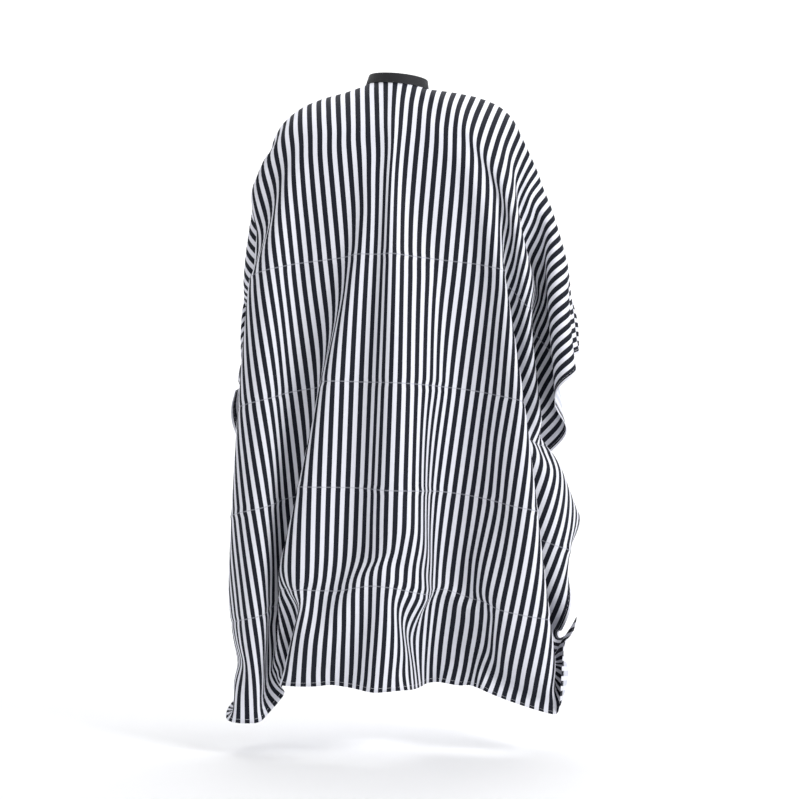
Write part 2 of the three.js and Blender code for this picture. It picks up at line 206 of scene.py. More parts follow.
# Where the cloth is guided as it falls: stripe from the middle, then where that place hangs.
FRONT = { # distance from the neck's middle: (stripe, x, y, z) across the front
    0.24: [(-9, -0.167, -0.095, -0.166), (-5, -0.1015, -0.120, -0.170), (0, -0.0125, -0.138, -0.172),
           (3, 0.043, -0.138, -0.176), (5, 0.080, -0.134, -0.179), (8, 0.131, -0.115, -0.184),
           (11, 0.181, -0.095, -0.190), (13, 0.215, -0.080, -0.195)],
    0.44: [(-13, -0.222, -0.058, -0.375), (-11.5, -0.191, -0.068, -0.370),
           (-9, -0.1825, -0.108, -0.365), (-5, -0.115, -0.132, -0.369), (0, -0.024, -0.150, -0.372),
           (3, 0.032, -0.152, -0.376), (5, 0.070, -0.148, -0.379), (8, 0.113, -0.115, -0.384),
           (11, 0.1585, -0.090, -0.390), (13, 0.194, -0.083, -0.395)],
    0.64: [(-15, -0.226, -0.075, -0.575), (-12, -0.195, -0.070, -0.568),
           (-9, -0.194, -0.120, -0.564), (-5, -0.1235, -0.138, -0.568), (0, -0.033, -0.160, -0.571),
           (3, 0.022, -0.165, -0.575), (5, 0.0595, -0.160, -0.579), (8, 0.090, -0.115, -0.584),
           (11, 0.134, -0.082, -0.590), (13, 0.171, -0.082, -0.595), (16, 0.224, -0.100, -0.603)],
    0.84: [(-17, -0.236, -0.078, -0.780), (-13, -0.203, -0.055, -0.770),
           (-9, -0.2035, -0.125, -0.763), (-5, -0.130, -0.138, -0.767), (0, -0.042, -0.165, -0.770),
           (3, 0.012, -0.178, -0.775), (5, 0.0475, -0.170, -0.778), (11, 0.107, -0.076, -0.788),
           (13, 0.144, -0.080, -0.794), (16, 0.197, -0.097, -0.801), (18, 0.212, -0.130, -0.806)],
    1.04: [(-20, -0.245, -0.080, -0.985), (-14, -0.210, -0.035, -0.970),
           (-9, -0.212, -0.125, -0.962), (-5, -0.138, -0.128, -0.966), (0, -0.0515, -0.160, -0.969),
           (3, -0.001, -0.178, -0.974), (5, 0.0325, -0.168, -0.977), (11, 0.080, -0.075, -0.986),
           (13, 0.114, -0.088, -0.988), (16, 0.168, -0.103, -0.993), (18, 0.185, -0.135, -1.000),
           (25, 0.2957, -0.130, -1.040)],
    NECK_TO_FRONT: [
           (-9.5, -0.231, -0.125, -1.161), (-5, -0.147, -0.120, -1.164), (0, -0.064, -0.150, -1.168),
           (3, -0.014, -0.142, -1.171), (5, 0.021, -0.128, -1.170), (11, 0.058, -0.025, -1.172),
           (13, 0.083, -0.048, -1.168), (16, 0.136, -0.062, -1.169), (18, 0.153, -0.092, -1.171),
           (26.5, 0.306, -0.095, -1.224)],
}
SLEEVES = [ # across, along, x, y, z, how firmly
    (-15 * STRIPE_PITCH, NECK_TO_FRONT, -0.232, -0.030, -1.170, 0.7),
    (-24 * STRIPE_PITCH, NECK_TO_FRONT, -0.262, -0.095, -1.238, 1),
    (-28.5 * STRIPE_PITCH, NECK_TO_FRONT, -0.330, -0.065, -1.220, 1),
    (-0.34, 0.20, -0.283, -0.01, -0.27, 0.5), (-0.36, 0.36, -0.300, -0.015, -0.40, 0.5),
    (-0.38, 0.50, -0.322, -0.02, -0.50, 0.5), (-0.44, 0.75, -0.340, -0.02, -0.73, 0.5),
    (-0.52, 1.00, -0.347, -0.04, -0.98, 0.5),
    (-CLOTH_WIDTH / 2, NECK_TO_FRONT, -0.27, 0.04, -1.17, 1),
    (-CLOTH_WIDTH / 2, 0.42, -0.26, 0.07, -0.66, 0.5),
    (-CLOTH_WIDTH / 2, 0.86, -0.29, 0.05, -0.97, 0.5),
    (-CLOTH_WIDTH / 2, -0.14, -0.30, 0.03, -0.53, 0.7), (-CLOTH_WIDTH / 2, -NECK_TO_BACK, -0.20, 0.11, -0.63, 0.7),
    (-0.30, -NECK_TO_BACK, -0.13, 0.13, -0.37, 0.6), (0.30, -NECK_TO_BACK, 0.14, 0.13, -0.37, 0.6),
    (CLOTH_WIDTH / 2, NECK_TO_FRONT, 0.344, -0.07, -1.035, 1), (0.64, NECK_TO_FRONT, 0.317, -0.08, -1.083, 1),
    (CLOTH_WIDTH / 2, -0.14, 0.343, 0.02, -0.516, 1), (CLOTH_WIDTH / 2, 0.20, 0.318, -0.05, -0.535, 0.7),
    (CLOTH_WIDTH / 2, -NECK_TO_BACK, 0.21, 0.10, -0.63, 0.5), (CLOTH_WIDTH / 2, 0.55, 0.315, 0.03, -0.72, 0.5),
    (CLOTH_WIDTH / 2, 0.70, 0.318, 0.02, -0.82, 0.6),
    (CLOTH_WIDTH / 2, 0.86, 0.322, 0.0, -0.93, 0.5), (0.56, 0.70, 0.330, -0.04, -0.72, 0.5),
]
GUIDE = 0.5 # how firmly the front is guided above its hem
FORM_SIDES = 64
SETTLED = 90 # frames, fewer for a first look
LOWERED = 45 # the frame at which the guided places have arrived

hoops = []
form = bmesh.new()
for height, mx, my, wide, deep, squareness in FORM:
    turns = np.linspace(0, 2 * math.pi, FORM_SIDES, endpoint=False)
    c, s = np.cos(turns), np.sin(turns)
    xs = mx + wide * np.copysign(np.abs(c) ** (2 / squareness), c)
    ys = my + deep * np.copysign(np.abs(s) ** (2 / squareness), s)
    hoops.append([form.verts.new((x, y, height)) for x, y in zip(xs, ys)])
for upper, lower in zip(hoops, hoops[1:]):
    for i in range(FORM_SIDES):
        j = (i + 1) % FORM_SIDES
        form.faces.new([upper[i], lower[i], lower[j], upper[j]])
form.faces.new(hoops[0])
form.faces.new(hoops[-1][::-1])
bmesh.ops.recalc_face_normals(form, faces=form.faces)
dress_form = bpy.data.objects.new("dress_form", bpy.data.meshes.new("dress_form"))
form.to_mesh(dress_form.data)
form.free()
bpy.context.scene.collection.objects.link(dress_form)
dress_form.modifiers.new("form", "COLLISION")
dress_form.collision.thickness_outer = 0.004
dress_form.collision.thickness_inner = 0.02
dress_form.collision.cloth_friction = 10

cape.shape_key_add(name="flat")
fallen = cape.shape_key_add(name="fallen")
held = cape.vertex_groups.new(name="held")
held.add(neck_fold + raw_edge, 1.0, "ADD")
targets = start.copy()
guides = [(n * STRIPE_PITCH, v, x, y, z, 1 if v == NECK_TO_FRONT else GUIDE)
          for v, across in FRONT.items() for n, x, y, z in across]
for u, v, x, y, z, firm in guides + SLEEVES:
    near = int(np.argmin((flat[:, 0] - u) ** 2 + (flat[:, 1] - v) ** 2))
    targets[near] = x, y, z
    held.add([near], firm, "REPLACE")
fallen.data.foreach_set("co", targets.astype(np.float32).ravel())
for value, at in ((0, 1), (1, LOWERED)):
    fallen.value = value
    fallen.keyframe_insert("value", frame=at)
fabric = cape.modifiers.new("fabric", "CLOTH")
weight = fabric.settings
weight.quality, weight.mass, weight.air_damping = 6, 0.25, 1.5
weight.tension_stiffness = weight.compression_stiffness = 25
weight.shear_stiffness, weight.bending_stiffness = 12, 3
weight.tension_damping = weight.compression_damping = weight.shear_damping = 5
weight.bending_damping = 0.5
weight.vertex_group_mass = "held"
touch = fabric.collision_settings
touch.distance_min, touch.collision_quality = 0.004, 3
touch.use_self_collision, touch.self_distance_min = True, 0.005
fabric.point_cache.frame_start, fabric.point_cache.frame_end = 1, SETTLED
bpy.context.scene.frame_end = SETTLED
for at in range(1, SETTLED + 1):
    bpy.context.scene.frame_set(at)
hanging = cape.evaluated_get(bpy.context.evaluated_depsgraph_get()).to_mesh()
draped = np.zeros(len(flat) * 3, np.float32)
hanging.vertices.foreach_get("co", draped)
draped = draped.reshape(-1, 3).astype(float)
cape.modifiers.clear()
cape.animation_data_clear()
if cape.data.shape_keys.animation_data:
    cape.data.shape_keys.animation_data_clear()
cape.shape_key_clear()
cape.vertex_groups.clear()
bpy.data.objects.remove(dress_form)
bpy.context.scene.frame_set(1)
sheet.vertices.foreach_set("co", draped.astype(np.float32).ravel())

# Cape cloth: the finish.
# The drape is smoothed, the packing creases are pressed into it, and the slit is parted. The cloth is thin,
# printed on its outer face and plain white inside, where the print only shows through faintly.
CLOTH_THICKNESS = 0.00035
CREASES = (0.40, 0.64, 0.84, 1.04) # along the cloth, from the middle of the neck hole
CREASE_HEIGHT, CREASE_WIDTH = 0.002, 0.006
CREASE_SIDES = (1, -1, 1, -1) # 1 stands out, -1 is pressed in
SMOOTHING, SMOOTHING_PASSES = 0.35, 2
EDGE_NEAR = 0.001 # anything nearer to the cloth's edge than this is on it
SLIT_RIGHT, SLIT_LEFT, SLIT_BACK = 0.0006, 0.0004, 0.0005 # how far the slit's edges are parted
SLIT_REACH = 0.03 # how far down the slit its right edge is drawn to the tab's root


def read(items, what, width, kind=np.float32):
    """A mesh's values as an array with one row for each item."""
    values = np.zeros(len(items) * width, kind)
    items.foreach_get(what, values)
    return values.reshape(-1, width).astype(int if kind is np.int32 else float)


def deselect():
    for o in bpy.context.selected_objects:
        o.select_set(False)


def take(piece):
    """Makes a piece the only one that the next operators work on."""
    deselect()
    piece.select_set(True)
    bpy.context.view_layer.objects.active = piece


def apply_modifiers(piece):
    take(piece)
    for name in [m.name for m in piece.modifiers]:
        bpy.ops.object.modifier_apply(modifier=name)


ends = read(sheet.edges, "vertices", 2, np.int32)
neighbours = np.bincount(ends.ravel(), minlength=len(draped)).reshape(-1, 1)
free = np.ones(len(draped), bool)
free[neck_fold + raw_edge] = False
free[np.abs(flat[:, 0]) > CLOTH_WIDTH / 2 - EDGE_NEAR] = False
free[(flat[:, 1] < EDGE_NEAR - NECK_TO_BACK) | (flat[:, 1] > NECK_TO_FRONT - EDGE_NEAR)] = False
smoothed = np.column_stack([draped, flat])
for _ in range(SMOOTHING_PASSES):
    around = np.zeros_like(smoothed)
    np.add.at(around, ends[:, 0], smoothed[ends[:, 1]])
    np.add.at(around, ends[:, 1], smoothed[ends[:, 0]])
    smoothed[free] += SMOOTHING * (around / neighbours - smoothed)[free]
draped, flat = smoothed[:, :3], smoothed[:, 3:]
sheet.vertices.foreach_set("co", draped.astype(np.float32).ravel())
sheet.uv_layers["cut"].data.foreach_set("uv", flat[loops].astype(np.float32).ravel())

# the slit: its left edge stays with the band's inner end, and its right edge goes to the tab's root
work = bmesh.new()
work.from_mesh(sheet)
chain = {frozenset(pair) for pair in zip(slit, slit[1:])}
bmesh.ops.split_edges(work, edges=[e for e in work.edges if frozenset(v.index for v in e.verts) in chain])
slit_ring = square.index((SLIT, -PATCH))
tab_root = Vector(on_band(line[-1:], outward[-1:], SLIT_BACK, NECK_FOLD)[0])
to_root = tab_root - Vector(start[neck_fold[slit_ring]])
slit_points = {tuple(round(c, 6) for c in draped[i]) for i in slit}
lines = work.loops.layers.uv["cut"]
for v in work.verts:
    if tuple(round(c, 6) for c in v.co) in slit_points and v.is_boundary:
        own = v.link_loops[0][lines].uv
        middle = sum((l[lines].uv for f in v.link_faces for l in f.loops), Vector((0, 0))) / sum(
            len(f.loops) for f in v.link_faces)
        right = middle.x > own.x
        down = (own - Vector(neck_places[slit_ring])).length
        v.co += (SLIT_RIGHT if right else -SLIT_LEFT) * Vector((1, 0, 0))
        if right:
            v.co += to_root * math.exp(-(down / SLIT_REACH) ** 2) + Vector((0, SLIT_BACK, 0))
work.to_mesh(sheet)
work.free()

refine = cape.modifiers.new("refine", "SUBSURF")
refine.levels = refine.render_levels = 1
refine.uv_smooth = refine.boundary_smooth = "PRESERVE_CORNERS"
apply_modifiers(cape)
sheet = cape.data
on_cut = np.zeros((len(sheet.vertices), 2))
loops = read(sheet.loops, "vertex_index", 1, np.int32)[:, 0]
on_cut[loops] = read(sheet.uv_layers["cut"].data, "uv", 2)
face_out = read(sheet.vertices, "normal", 3)
draped = read(sheet.vertices, "co", 3)
# three sine waves of different lengths keep the creases from being even
across, along = on_cut.T
ripple = np.sin(across * 71) + np.sin(across * 133 + 1.3) + np.sin(across * 29 + along * 17)
for crease, side_ in zip(CREASES, CREASE_SIDES):
    away = np.abs(along - crease)
    draped += face_out * (side_ * CREASE_HEIGHT * np.exp(-(away / CREASE_WIDTH) ** 2) * (0.7 + 0.15 * ripple))[:, None]
sheet.vertices.foreach_set("co", draped.astype(np.float32).ravel())
sheet.update()


class Value:
    """A shader value. Sums written with it add their Math nodes."""

    def __init__(self, finish, socket):
        self.finish, self.socket = finish, socket

    def math(self, operation, *others, first=None, clamp=False):
        terms = ([] if first is None else [first]) + [self, *others]
        made = self.finish.node("Math", {"operation": operation, "use_clamp": clamp}, dict(enumerate(terms)))
        return Value(self.finish, made.outputs[0])

    def __add__(self, other): return self.math("ADD", other)
    def __mul__(self, other): return self.math("MULTIPLY", other)
    def __sub__(self, other): return self.math("SUBTRACT", other)
    def __truediv__(self, other): return self.math("DIVIDE", other)
    def __rsub__(self, other): return self.math("SUBTRACT", first=other)
    __radd__, __rmul__ = __add__, __mul__


class Finish:
    """A procedural material on one Principled shader, whose unchanging values are set on its sockets."""

    def __init__(self, name, **constants):
        self.material = bpy.data.materials.new(name)
        self.material.use_nodes = True
        self.tree = self.material.node_tree
        self.shader = self.tree.nodes["Principled BSDF"]
        for socket, value in constants.items():
            self.shader.inputs[socket.replace("_", " ")].default_value = value

    def node(self, kind, settings=None, sockets=None):
        made = self.tree.nodes.new("ShaderNode" + kind)
        for name, value in (settings or {}).items():
            setattr(made, name, value)
        for name, value in (sockets or {}).items():
            self.feed(made.inputs[name], value)
        return made

    def feed(self, socket, value):
        if isinstance(value, Value):
            value = value.socket
        if isinstance(value, bpy.types.NodeSocket):
            self.tree.links.new(value, socket)
        else:
            socket.default_value = value

    def give(self, **sockets):
        for name, value in sockets.items():
            self.feed(self.shader.inputs[name.replace("_", " ")], value)

    def mix(self, share, a, b):
        """One colour turning into another."""
        return self.node("Mix", {"data_type": "RGBA"}, {0: share, 6: a, 7: b}).outputs[2]

    def noise(self, place, scale, detail=2.0, roughness=0.5):
        sockets = {"Vector": place, "Scale": scale, "Detail": detail, "Roughness": roughness}
        return Value(self, self.node("TexNoise", sockets=sockets).outputs[0])

    def raise_surface(self, height):
        """A bump whose height is in metres."""
        self.give(Normal=self.node("Bump", sockets={"Strength": 1.0, "Distance": 1.0, "Height": height}).outputs[0])


WHITE, WHITE_THREAD = (0.88, 0.885, 0.95, 1), (0.80, 0.805, 0.88, 1)
NAVY, NAVY_THREAD = (0.0045, 0.0055, 0.0125, 1), (0.012, 0.014, 0.024, 1)
INSIDE, INSIDE_THREAD = (0.84, 0.85, 0.89, 1), (0.77, 0.78, 0.84, 1)
SHOWING, SHOWING_THREAD = (0.66, 0.68, 0.75, 1), (0.62, 0.64, 0.72, 1) # the print, seen from inside
CREASE_SHADE_TINT = (0.42, 0.43, 0.49, 1) # painted shade along a packing crease
DARK_STRIPE = 0.0099 # its width
STRIPE_EDGE, STRIPE_FUZZ = 3500, 0.0006 # how sharply its edge ends, and how far that wanders
CREASE_SHARPNESS = 600
THREAD_PITCH = 0.0007


def polyester(name, dark, dark_thread, light, light_thread):
    """The cloth's two faces: the stripes, the weave, the small wrinkles and the packing creases, with painted shade
    along each crease.
    """
    cloth = Finish(name, IOR=1.46, Specular_IOR_Level=0.25)
    place = cloth.node("UVMap", {"uv_map": "cut"}).outputs[0]
    parts = cloth.node("SeparateXYZ", sockets={0: place})
    across, along = Value(cloth, parts.outputs[0]), Value(cloth, parts.outputs[1])
    fuzz = cloth.noise(place, 2600, 1.0) - 0.5
    to_stripe = across.math("PINGPONG", STRIPE_PITCH / 2)
    stripe = ((DARK_STRIPE / 2 - to_stripe + fuzz * STRIPE_FUZZ) * STRIPE_EDGE + 0.5).math("ADD", 0.0, clamp=True)
    slub = cloth.noise(cloth.node("Mapping", sockets={0: place, 3: (900, 90, 1)}).outputs[0], 1.0, 3.0)
    blotch = cloth.noise(place, 9, 3.0)
    threads = (slub * 0.7 + blotch * 0.5 - 0.1).math("ADD", 0.0, clamp=True)
    light_face = cloth.mix(threads, light, light_thread)
    dark_face = cloth.mix(threads, dark, dark_thread)
    colour = cloth.mix(stripe, light_face, dark_face)
    pressed = None
    for crease in CREASES:
        line_ = (1.0 - (along - crease).math("ABSOLUTE") * CREASE_SHARPNESS).math("ADD", 0.0, clamp=True)
        pressed = line_ if pressed is None else pressed.math("MAXIMUM", line_)
    # painted shade: the colour is darkened along each packing crease, where its small ridge would be shaded
    crease_shade = pressed * cloth.noise(place, 160, 2.0) * 1.1
    colour = cloth.mix(crease_shade, colour, CREASE_SHADE_TINT)
    weave = (across * (2 * math.pi / THREAD_PITCH)).math("SINE") * (along * (2 * math.pi / THREAD_PITCH)).math("SINE")
    drape = cloth.node("Mapping", sockets={0: place, 3: (1.0, 0.45, 1)}).outputs[0]
    wrinkles = cloth.noise(drape, 22, 3.0, 0.45) * 0.0022 + cloth.noise(place, 75, 2.0) * 0.0005
    cloth.raise_surface(weave * 0.00002 + wrinkles + pressed * 0.0005)
    cloth.give(Base_Color=colour, Roughness=0.62 + slub * 0.16)
    return cloth.material


sheet.materials.append(polyester("printed_polyester", NAVY, NAVY_THREAD, WHITE, WHITE_THREAD))
sheet.materials.append(polyester("printed_polyester_inside", SHOWING, SHOWING_THREAD, INSIDE, INSIDE_THREAD))

# Cape cloth: the hem.
# The edges are turned in by a finger's width and sewn down with white thread, so the hem shows the printed
# face inside. The turned strip lies just under the cloth.
HEM_GAP = 0.00010
STITCH_PITCH, THREAD = 0.0031, 0.00022 # from stitch to stitch, and the thread's radius
THREAD_LIFT = 0.00006 # how far a stitch's middle stands off the cloth
NECK_SEAM = 0.0700 # cloth edges nearer to the neck's middle than this are sewn into the band
SEWN_IN = 0.78 # share of the turned strip's width at which it is sewn

face_out = read(sheet.vertices, "normal", 3)
draped = read(sheet.vertices, "co", 3)
in_band = np.hypot(*on_cut.T) < NECK_SEAM
face_uses, quads = {}, [tuple(p.vertices) for p in sheet.polygons]
for quad in quads:
    for pair in zip(quad, quad[1:] + quad[:1]):
        face_uses.setdefault(frozenset(pair), []).append((pair, quad))
rim = [uses[0] for uses in face_uses.values() if len(uses) == 1]
rim = [(pair, quad) for pair, quad in rim if not (in_band[pair[0]] and in_band[pair[1]])]
on_rim = {v for pair, _ in rim for v in pair}
inside_of = {}
for (a, b), quad in rim:
    at = quad.index(a)
    a_in, b_in = quad[at - 1], quad[(at + 2) % 4]
    for edge_point, inner_point, across_ in ((a, a_in, b_in), (b, b_in, a_in)):
        if inner_point not in on_rim or edge_point not in inside_of:
            inside_of[edge_point] = inner_point if inner_point not in on_rim else across_
strip_points, strip_faces, strip_cut, strip_seen = [], [], [], {}


def strip_point(v, depth):
    if (v, depth) not in strip_seen:
        strip_seen[v, depth] = len(strip_points)
        strip_points.append(draped[v] - face_out[v] * depth)
        strip_cut.append(on_cut[v])
    return strip_seen[v, depth]


near_side = CLOTH_THICKNESS + HEM_GAP
far_side = near_side + CLOTH_THICKNESS
for (a, b), _ in rim:
    a_in, b_in = inside_of[a], inside_of[b]
    for depth, order in ((near_side, 1), (far_side, -1)):
        ring = [strip_point(v, depth) for v in (a, b, b_in, a_in)]
        ring = [v for i, v in enumerate(ring) if v != ring[i - 1]]
        strip_faces.append(ring[::order])
hem_mesh = bpy.data.meshes.new("cape_hem")
hem_mesh.from_pydata([tuple(p) for p in strip_points], [], strip_faces)
hem = bpy.data.objects.new("cape_hem", hem_mesh)
bpy.context.scene.collection.objects.link(hem)
hem_mesh.uv_layers.new(name="cut").data.foreach_set(
    "uv", np.array(strip_cut)[read(hem_mesh.loops, "vertex_index", 1, np.int32)[:, 0]].astype(np.float32).ravel())
hem_mesh.materials.append(sheet.materials[0])


def close_sides(piece):
    """Joins a piece's open edges, which lie in pairs, with narrow faces."""
    work = bmesh.new()
    work.from_mesh(piece.data)
    partner = {}
    for (v, depth), i in strip_seen.items():
        if depth == near_side:
            partner[i] = strip_seen[v, far_side]
    work.verts.ensure_lookup_table()
    lines = work.loops.layers.uv["cut"]
    for e in [e for e in work.edges if e.is_boundary and e.verts[0].index in partner and e.verts[1].index in partner]:
        loop = e.link_loops[0]
        a, b = loop.vert, loop.link_loop_next.vert
        try:
            face = work.faces.new([b, a, work.verts[partner[a.index]], work.verts[partner[b.index]]])
        except ValueError: # the face is there already
            continue
        for l in face.loops:
            l[lines].uv = strip_cut[l.vert.index]
    bmesh.ops.recalc_face_normals(work, faces=work.faces)
    work.to_mesh(piece.data)
    work.free()


close_sides(hem)
thickness = cape.modifiers.new("thickness", "SOLIDIFY")
thickness.thickness, thickness.offset = CLOTH_THICKNESS, -1
thickness.material_offset, thickness.material_offset_rim = 1, 0
apply_modifiers(cape)
sheet = cape.data
for piece in (cape, hem):
    take(piece)
    bpy.ops.object.shade_smooth()
    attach(piece, "cape")
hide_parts("cape_cloth")

# Neckband: the sewn strip.
# Black woven polyester, folded over a canvas interfacing and lined with the same cloth. The cape's raw neck
# edge is sewn in between the layers at the foot. The outer layer is turned over the interfacing at the top.
MILLI = 0.001
OUTER_SHAPE = [(0.62, -9.95), (1.0, -10), (1.5, -9.9), (1.75, -9.5), (1.70, -8.7), (1.58, -8.3), (1.72, -7.8),
               (1.80, -6), (1.82, 0), (1.80, 6), (1.72, 7.6), (1.58, 8.1), (1.70, 8.6), (1.78, 9.2), (1.6, 9.75),
               (1.1, 10), (0.2, 10), (-0.3, 9.9), (-0.45, 9.6), (-0.45, 9.0), (-0.2, 8.85), (0.45, 8.85),
               (0.62, 8.7), (0.62, 0)]
LINING_SHAPE = [(-0.85, -9.9), (-0.8, -9.6), (-0.8, 0), (-0.8, 9.5), (-0.9, 9.85), (-1.25, 10), (-1.65, 9.85),
                (-1.80, 9.4), (-1.78, 8.6), (-1.66, 8.1), (-1.76, 7.6), (-1.80, 6), (-1.80, 0), (-1.78, -7.8),
                (-1.66, -8.3), (-1.76, -8.8), (-1.78, -9.4), (-1.6, -9.85), (-1.2, -10)]
TAB_TIP, TAB_CORNER = -0.0028, 0.007
FOLD_LENGTH = 0.006 # the part of the tab that bends, from its root
TWILL_PITCH, RIB_PITCH = 0.00075, 0.0006
HINGE_START, HINGE_END = 0.0315, 0.0275 # across the tab's fold, from the band to the tab


def sewn_strip(name, points, directions, shape, finish, tip=None):
    """One layer of the band: its outline, drawn along the band's line and rounded off at the tab's tip."""
    along = np.append(0, np.cumsum(np.hypot(*np.diff(points, axis=0).T)))
    height = np.ones(len(points))
    if tip is not None:
        left = np.clip(1 - (points[:, 0] - tip) / TAB_CORNER, 0, 1)
        height = 1 - TAB_CORNER / (BAND_HEIGHT / 2) * (1 - np.sqrt(1 - left ** 2))
    round_it = np.append(0, np.cumsum([math.dist(a, b) for a, b in zip(shape, shape[1:] + shape[:1])])) * MILLI
    rows = [on_band(points, directions, out * MILLI, up * MILLI * height) for out, up in shape]
    n, m = len(points), len(shape)
    co = np.stack(rows, 1).reshape(-1, 3)
    faces, lines_ = [], []
    for s in range(n - 1):
        for p in range(m):
            q = (p + 1) % m
            faces.append((s * m + p, (s + 1) * m + p, (s + 1) * m + q, s * m + q))
            lines_ += [(along[s], round_it[p]), (along[s + 1], round_it[p]),
                       (along[s + 1], round_it[p + 1]), (along[s], round_it[p + 1])]
    for s in (0, n - 1):
        faces.append(tuple(s * m + p for p in range(m)))
        lines_ += [(along[s] + out * MILLI, up * MILLI) for out, up in shape]
    mesh = bpy.data.meshes.new(name)
    mesh.from_pydata([tuple(p) for p in co], [], faces)
    mesh.uv_layers.new(name="strip").data.foreach_set("uv", np.array(lines_, np.float32).ravel())
    mesh.materials.append(finish)
    piece = bpy.data.objects.new(name, mesh)
    bpy.context.scene.collection.objects.link(piece)
    take(piece)
    bpy.ops.object.mode_set(mode="EDIT")
    bpy.ops.mesh.select_all(action="SELECT")
    bpy.ops.mesh.normals_make_consistent(inside=False)
    bpy.ops.object.mode_set(mode="OBJECT")
    bpy.ops.object.shade_smooth_by_angle(angle=math.radians(50))
    return piece


BLACK, BLACK_THREAD = (0.0045, 0.0045, 0.0062, 1), (0.014, 0.014, 0.018, 1)
band_cloth = Finish("black_binding", IOR=1.45, Sheen_Weight=0.10, Sheen_Roughness=0.5)
place = band_cloth.node("UVMap", {"uv_map": "strip"}).outputs[0]
parts = band_cloth.node("SeparateXYZ", sockets={0: place})
run_, rise = Value(band_cloth, parts.outputs[0]), Value(band_cloth, parts.outputs[1])
twill = ((run_ + rise) * (2 * math.pi / TWILL_PITCH)).math("SINE")
ribs = (run_ * (2 * math.pi / RIB_PITCH)).math("SINE")
lint = band_cloth.noise(place, 1500, 3.0)
wear = band_cloth.noise(place, 55, 3.0)
paler = (lint * 0.8 + wear * 0.5 - 0.25).math("ADD", 0.0, clamp=True)
band_cloth.give(Base_Color=band_cloth.mix(paler, BLACK, BLACK_THREAD), Roughness=0.62 + lint * 0.2)
band_cloth.raise_surface(twill * 0.00003 + ribs * 0.00002 + wear * 0.00035)

line, outward = band_line(0.002)
# the band ends and the tab begins where the line has come round to the tab's straight stretch
after_front = np.arange(len(line)) > len(line) // 2
split = int(np.argmax((line[:, 0] > 0) & (line[:, 1] > TAB_DEPTH - 0.0009) & after_front))
hinge_x = [*np.linspace(TAB_ROOT, TAB_ROOT - FOLD_LENGTH, 13)[1:], *np.linspace(0.0225, 0.005, 8)]
tip_x = TAB_TIP + TAB_CORNER * (1 - np.sin(np.linspace(0, math.pi / 2, 14)))
tab_line = np.array([*line[split:-1], *[(x, TAB_DEPTH) for x in np.linspace(line[-2, 0], TAB_ROOT, 4)[1:]],
                     *[(x, TAB_DEPTH) for x in hinge_x], *[(x, TAB_DEPTH) for x in tip_x]])
tab_out = np.array([*outward[split:-1], *[(0, 1)] * (len(tab_line) - len(outward[split:-1]))])
for name, shape in (("neckband_outer_cloth", OUTER_SHAPE), ("neckband_lining_cloth", LINING_SHAPE)):
    piece = sewn_strip(name, line[:split + 1], outward[:split + 1], shape, band_cloth.material)
    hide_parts(name.replace("_cloth", ""))
    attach(piece, "cape")

# Closure tab: the outer end of the band.
# It is the same strip, carried on past the cape's slit with a rounded end; it is cut more finely where the slit ends,
# where it would bend, but it is built straight.
across_fold = [tuple(on_band(np.array([[x, TAB_DEPTH]]), np.array([[0, 1]]), 0, 0)[0])
               for x in (HINGE_START, HINGE_END)]
for name, shape in (("tab_outer_cloth", OUTER_SHAPE), ("tab_lining_cloth", LINING_SHAPE)):
    piece = sewn_strip(name, tab_line, tab_out, shape, band_cloth.material, TAB_TIP)
    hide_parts(name.replace("_cloth", ""))
    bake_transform(piece)

# Interfacing.
# A strip of natural canvas that stiffens the band and the tab. It shows only as a line between the layers.
CANVAS_PITCH = 0.0009
canvas = Finish("interfacing_canvas", IOR=1.45)
place = canvas.node("TexCoord").outputs["Object"]
parts = canvas.node("SeparateXYZ", sockets={0: place})
grain_x, grain_z = Value(canvas, parts.outputs[0]), Value(canvas, parts.outputs[2])
grain = 2 * math.pi / CANVAS_PITCH
crossing = (grain_x * grain).math("SINE") * (grain_z * grain).math("SINE")
fibres = canvas.noise(place, 1200, 3.0)
canvas_colour = canvas.mix(fibres, (0.58, 0.54, 0.45, 1), (0.70, 0.67, 0.58, 1))
canvas.give(Base_Color=canvas_colour, Roughness=0.8 + fibres * 0.15)
canvas.raise_surface(crossing * 0.00004 + fibres * 0.00003)
for name in ("neckband_interfacing", "tab_interfacing"):
    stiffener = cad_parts[name]
    stiffener.data.materials.clear()
    stiffener.data.materials.append(canvas.material)

# Stitching of the band and the tab.
# Two rows of black lockstitch run along the band, near its top and its foot, and round the tab's end.
BAND_STITCH, BAND_STITCH_PITCH = 0.0023, 0.0030
bpy.ops.mesh.primitive_cylinder_add(vertices=6, radius=THREAD, depth=BAND_STITCH, rotation=(0, math.pi / 2, 0))
one_stitch = bpy.context.active_object
bpy.ops.object.transform_apply(rotation=True)
bpy.ops.object.mode_set(mode="EDIT")
bpy.ops.mesh.select_all(action="SELECT")
bpy.ops.mesh.select_mode(type="FACE")
bpy.ops.object.mode_set(mode="OBJECT")
for f in one_stitch.data.polygons:
    f.select = abs(f.normal.x) > 0.9
bpy.ops.object.mode_set(mode="EDIT")
bpy.ops.mesh.inset(thickness=THREAD * 0.45, depth=THREAD * 0.9)
bpy.ops.object.mode_set(mode="OBJECT")
stitch_points = read(one_stitch.data.vertices, "co", 3)
stitch_faces = [tuple(p.vertices) for p in one_stitch.data.polygons]
bpy.data.objects.remove(one_stitch)


